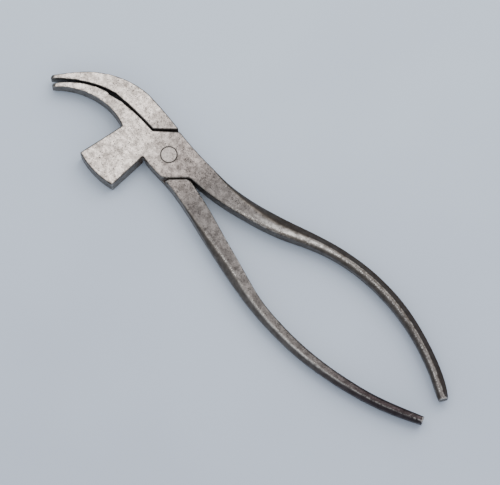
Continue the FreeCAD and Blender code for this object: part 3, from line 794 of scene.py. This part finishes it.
# %% [markdown]
# ### Painted highlights, polish, rust and rubbed edges
# A painted highlight runs along the crown, and the place under the palm is polished
# and painted with a sheen, but not evenly, so noise breaks both.  Rust sits in the
# hollows and inside the lap.  Knocks and cloths rub the crests, more on the handles
# than on the head, and the rubbed crests also stand for painted edge highlights.

# %% Mask painted highlights and sheen, palm polish, rust and rubbed edges
GLINT_BREAKS = 260.0
PALM_BREAKS = 520.0
RUST_PATCHES = 420.0
LAP_PATCHES = 650.0
RUB_BREAKS = 700.0


def paint_crown_highlight(w, place, grain, end_brown, crown_highlight_strength):
    """The broken painted highlight along a handle's crown."""
    glint = w.maths("MULTIPLY", w.worn("crown_painted_highlight"), w.spread(grain, 0.44, 0.62))
    breaks = w.spread(w.noise(place, GLINT_BREAKS, 3.0, 0.7), 0.30, 0.62)
    glint = w.maths("MULTIPLY", glint, breaks)
    return w.maths("MULTIPLY", glint, w.mixed(end_brown, crown_highlight_strength, 0.25))


def palm_polish_and_sheen(w, place, palm_polish_and_sheen_strength):
    """The patchy polish under the palm, with a painted sheen."""
    palm = w.spread(w.noise(place, PALM_BREAKS, 4.0, 0.75), 0.36, 0.64, 0.22, 0.80)
    palm = w.maths("MULTIPLY", palm, w.worn("palm_wear_and_sheen"))
    return w.maths("MULTIPLY", palm, palm_polish_and_sheen_strength)


def rust_mask(w, place):
    """Rust in the hollows and inside the lap."""
    where = w.spread(w.noise(place, RUST_PATCHES, 4.0, 0.7), 0.46, 0.62)
    rust = w.maths("MULTIPLY", w.spread(w.worn("hollow"), 0.15, 0.7),
                   w.maths("ADD", where, 0.35), clamp=True)
    lap = w.spread(w.noise(place, LAP_PATCHES, 4.0, 0.7), 0.38, 0.58, 0.25, 0.95)
    return w.maths("MAXIMUM", rust, w.maths("MULTIPLY", w.worn("inside_lap"), lap))


def rubbed_and_edge_highlight_mask(w, place, handle):
    """Crests rubbed bright by wear, which also stand for painted edge highlights."""
    rub_and_edge_highlight = w.maths("MULTIPLY", w.spread(w.worn("rubbed_crest_and_edge_highlight"), 0.17, 0.60),
                     w.spread(w.noise(place, RUB_BREAKS, 3.0, 0.7), 0.36, 0.60))
    return w.maths("MULTIPLY", rub_and_edge_highlight, w.mixed(handle, 0.28, 0.65))


# %% [markdown]
# ### Relief
# Grinding lines show only on the ground faces; pits and a low unevenness show
# everywhere.  All are added up as one height for a Bump node, because they are
# too fine or too shallow to be worth shaping in the net.

# %% Add up the fine relief
LOW_RELIEF = 900.0
RELIEF_DEPTH = 0.11 * MM


def lever_relief(w, place, ground, marks, pits, fine_pits):
    """The normal of the surface with its finest marks."""
    height = w.maths("MULTIPLY", marks["Marks"], w.maths("MULTIPLY", ground, 0.4))
    height = w.maths("ADD", height, pits["Height"])
    height = w.maths("ADD", height, w.maths("MULTIPLY", fine_pits["Height"], 0.45))
    height = w.maths("ADD", height, w.noise(place, LOW_RELIEF, 3.0, 0.6))
    bump = w.node("ShaderNodeBump", Strength=0.8, Distance=RELIEF_DEPTH, Height=height)
    return bump.outputs["Normal"]


# %% [markdown]
# ### The whole recipe
# The hammer lever's handle stays nearly grey to its end, with a strong painted
# highlight along its crown.  The plain lever's handle is browner at the end and its sides are
# paler.

# %% Finish the levers
def lever_steel(name, end_tint, skin_tone_and_sheen, crown_highlight_strength, palm_polish_and_sheen_strength):
    """Old forged steel, read from the wear maps of a skin."""
    material = bpy.data.materials.new(name)
    material.use_nodes = True
    w = Wiring(material.node_tree)
    shader = material.node_tree.nodes["Principled BSDF"]
    place = w.node("ShaderNodeTexCoord").outputs["Object"]
    ground = w.worn("ground_face")
    handle = w.worn("handle_share")
    end_brown = w.maths("MULTIPLY", w.worn("towards_end"), end_tint)
    stains = use(w, STAINS, Place=place, Cloud_size=130.0, Fleck_size=900.0)
    pits = use(w, PITS, Place=place, Size=1400.0, Share=0.34)
    fine_pits = use(w, PITS, Place=place, Size=2600.0, Share=0.50)
    marks = use(w, GRINDING, Place=place, Lines=2400.0, Turn=0.75)
    grain = w.noise(place, FINE_GRAIN, 2.0, 0.6)

    faces = face_colour(w, stains, marks, grain, end_brown)
    sides = side_colour(w, stains, handle, end_brown, skin_tone_and_sheen)
    broken = w.maths("ADD", ground, w.maths("MULTIPLY", w.maths("SUBTRACT", grain, 0.5), 0.5))
    colour = w.blend(w.spread(broken, 0.3, 0.7), sides, faces)
    # Painted highlight along the crown, then the palm's polish with a painted sheen.
    glint = paint_crown_highlight(w, place, grain, end_brown, crown_highlight_strength)
    palm = palm_polish_and_sheen(w, place, palm_polish_and_sheen_strength)
    colour = w.blend(palm, w.blend(glint, colour, BRIGHT_METAL_AND_HIGHLIGHT), BRIGHT_METAL_AND_HIGHLIGHT)
    # Painted shade on the bevels, on the head only.
    colour = darker(w, colour, w.maths("MULTIPLY", w.worn("bevel_painted_shade"), w.mixed(handle, 0.75, 0.0)))
    dirt = w.maths("MAXIMUM", w.maths("MULTIPLY", pits["Pits"], 0.70),
                   w.maths("MULTIPLY", fine_pits["Pits"], 0.40))
    colour = w.blend(dirt, colour, PIT_DARK)
    rust = rust_mask(w, place)
    rub_and_edge_highlight = rubbed_and_edge_highlight_mask(w, place, handle)
    # Rubbed crests painted bright, as wear and as painted edge highlights.
    colour = w.blend(rub_and_edge_highlight, w.blend(rust, colour, RUST), BRIGHT_METAL_AND_HIGHLIGHT)

    shine = w.maths("MAXIMUM", w.maths("MAXIMUM", rub_and_edge_highlight, glint), palm)
    roughness = w.mixed(ground, 0.46, 0.38)
    roughness = w.maths("ADD", roughness, w.maths("MULTIPLY", stains["Mottle"], 0.12))
    roughness = w.maths("ADD", roughness, w.maths("MULTIPLY", dirt, 0.25))
    roughness = w.mixed(rust, roughness, 0.85)
    not_metal = w.maths("MAXIMUM", rust, w.maths("MULTIPLY", dirt, 0.6))
    w.plug(shader.inputs["Base Color"], colour)
    w.plug(shader.inputs["Roughness"], w.mixed(shine, roughness, 0.30))
    w.plug(shader.inputs["Metallic"], w.mixed(not_metal, 1.0, 0.15))
    w.plug(shader.inputs["Normal"], lever_relief(w, place, ground, marks, pits, fine_pits))
    return material


hammer_skin.data.materials.append(
    lever_steel("hammer_lever_steel", end_tint=0.15, skin_tone_and_sheen=1.0, crown_highlight_strength=0.95,
                palm_polish_and_sheen_strength=0.70))
plain_skin.data.materials.append(
    lever_steel("plain_lever_steel", end_tint=0.95, skin_tone_and_sheen=0.50, crown_highlight_strength=0.75,
                palm_polish_and_sheen_strength=1.0))
print("levers finished")

# %% [markdown]
# ## The steel of the rivet
# The head was ground together with the faces, so it has nearly their grey and
# the same kinds of stain and mark, but its rim holds a dark line of dirt.  The
# line follows the distance from the rivet's own axis.

# %% Finish the rivet
RIVET_GREY = (0.36, 0.330, 0.315, 1.0)
RIM_DIRT = (0.3 * MM, 0.12 * MM)
RIVET_RELIEF = 0.06 * MM


def rivet_steel():
    """Ground steel with a dark line at the rim."""
    material = bpy.data.materials.new("rivet_head_steel")
    material.use_nodes = True
    w = Wiring(material.node_tree)
    shader = material.node_tree.nodes["Principled BSDF"]
    place = w.node("ShaderNodeTexCoord").outputs["Object"]
    stains = use(w, STAINS, Place=place, Cloud_size=210.0, Fleck_size=1000.0)
    pits = use(w, PITS, Place=place, Size=1600.0, Share=0.25)
    marks = use(w, GRINDING, Place=place, Lines=2600.0, Turn=0.75)
    flat = w.node("ShaderNodeVectorMath", {"operation": "MULTIPLY"})
    w.plug(flat.inputs[0], place)
    flat.inputs[1].default_value = (1.0, 1.0, 0.0)
    length = w.node("ShaderNodeVectorMath", {"operation": "LENGTH"})
    w.plug(length.inputs[0], flat.outputs[0])
    rim = w.spread(length.outputs["Value"], RIVET_HEAD - RIM_DIRT[0], RIVET_HEAD - RIM_DIRT[1])
    colour = darker(w, RIVET_GREY, w.maths("MULTIPLY", stains["Mottle"], 0.45))
    colour = darker(w, colour, w.maths("MULTIPLY", stains["Flecks"], 0.7))
    colour = w.blend(w.maths("MULTIPLY", pits["Pits"], 0.7), colour, PIT_DARK)
    colour = w.blend(rim, colour, PIT_DARK)
    height = w.maths("ADD", w.maths("MULTIPLY", marks["Marks"], 0.35), pits["Height"])
    bump = w.node("ShaderNodeBump", Strength=0.55, Distance=RIVET_RELIEF, Height=height)
    w.plug(shader.inputs["Base Color"], colour)
    w.plug(shader.inputs["Roughness"], w.mixed(rim, 0.40, 0.85))
    w.plug(shader.inputs["Metallic"], w.mixed(rim, 1.0, 0.2))
    w.plug(shader.inputs["Normal"], bump.outputs["Normal"])
    return material


rivet_skin.data.materials.append(rivet_steel())
print("rivet finished")

# %% [markdown]
# ## Bench and light
# The tool lies on a plain, slightly blue board, with painted light that makes it
# a little paler on its far side.  Two wide soft lamps light it: a window to the upper
# right of the view and a ceiling lamp nearly overhead.  The room gives even light
# from all sides, so the shadow is short, soft and falls to the lower left.

# %% Lay the board
BOARD_HALF = 3.0
BOARD_GAP = 0.1 * MM
BOARD_NEAR = (0.475, 0.545, 0.665, 1.0)
# Painted light: the board's colour on its far, paler side.
BOARD_FAR_PAINTED_LIGHT = (0.555, 0.640, 0.760, 1.0)


def make_board():
    """A wide flat board just under the tool."""
    mesh = bpy.data.meshes.new("board")
    corners = [(x * BOARD_HALF, y * BOARD_HALF, 0.0)
               for x, y in ((-1, -1), (1, -1), (1, 1), (-1, 1))]
    mesh.from_pydata(corners, [], [(0, 1, 2, 3)])
    board = bpy.data.objects.new("board", mesh)
    board.location.z = cad_box[0].z - BOARD_GAP
    bpy.context.scene.collection.objects.link(board)
    material = bpy.data.materials.new("board_paint")
    material.use_nodes = True
    w = Wiring(material.node_tree)
    shader = material.node_tree.nodes["Principled BSDF"]
    place = w.node("ShaderNodeTexCoord").outputs["Object"]
    cloud = w.spread(w.noise(place, 12.0, 2.0), 0.35, 0.65, -0.15, 0.15)
    # Painted light: a gradient that is paler towards the far side.
    far = w.node("ShaderNodeVectorMath", {"operation": "DOT_PRODUCT"})
    w.plug(far.inputs[0], place)
    far.inputs[1].default_value = (math.cos(VIEW_UP), math.sin(VIEW_UP), 0.0)
    far = w.spread(far.outputs["Value"], -0.17, 0.10)
    colour = w.blend(w.maths("ADD", far, cloud, clamp=True), BOARD_NEAR, BOARD_FAR_PAINTED_LIGHT)
    w.plug(shader.inputs["Base Color"], colour)
    shader.inputs["Roughness"].default_value = 0.6
    mesh.materials.append(material)
    return board


board = make_board()
print("board lies at, mm:", round(board.location.z / MM, 2))


# %% Set the lights
def make_lamp(name, heading, height, reach, size, power, colour):
    """A square soft lamp that stands off in a direction of the view."""
    lamp = bpy.data.lights.new(name, "AREA")
    lamp.shape = "SQUARE"
    lamp.size = size
    lamp.energy = power
    lamp.color = colour
    holder = bpy.data.objects.new(name, lamp)
    bpy.context.scene.collection.objects.link(holder)
    angle = VIEW_UP + math.radians(heading)
    holder.location = LOOK_AT + Vector((math.cos(angle) * reach, math.sin(angle) * reach, height))
    toward = LOOK_AT - holder.location
    holder.rotation_euler = toward.to_track_quat("-Z", "Y").to_euler()
    return holder


def make_room(colour, strength):
    """Even light from all sides."""
    world = bpy.data.worlds.new("room")
    bpy.context.scene.world = world
    world.use_nodes = True
    back = world.node_tree.nodes["Background"]
    back.inputs["Color"].default_value = colour
    back.inputs["Strength"].default_value = strength


make_room((0.93, 0.96, 1.0, 1.0), 0.84)
make_lamp("window", heading=-45.0, height=1.3, reach=0.9, size=1.1, power=11.0,
          colour=(1.0, 0.98, 0.95))
make_lamp("ceiling", heading=20.0, height=1.7, reach=0.45, size=1.4, power=14.0,
          colour=(1.0, 0.97, 0.93))
print("lights set")
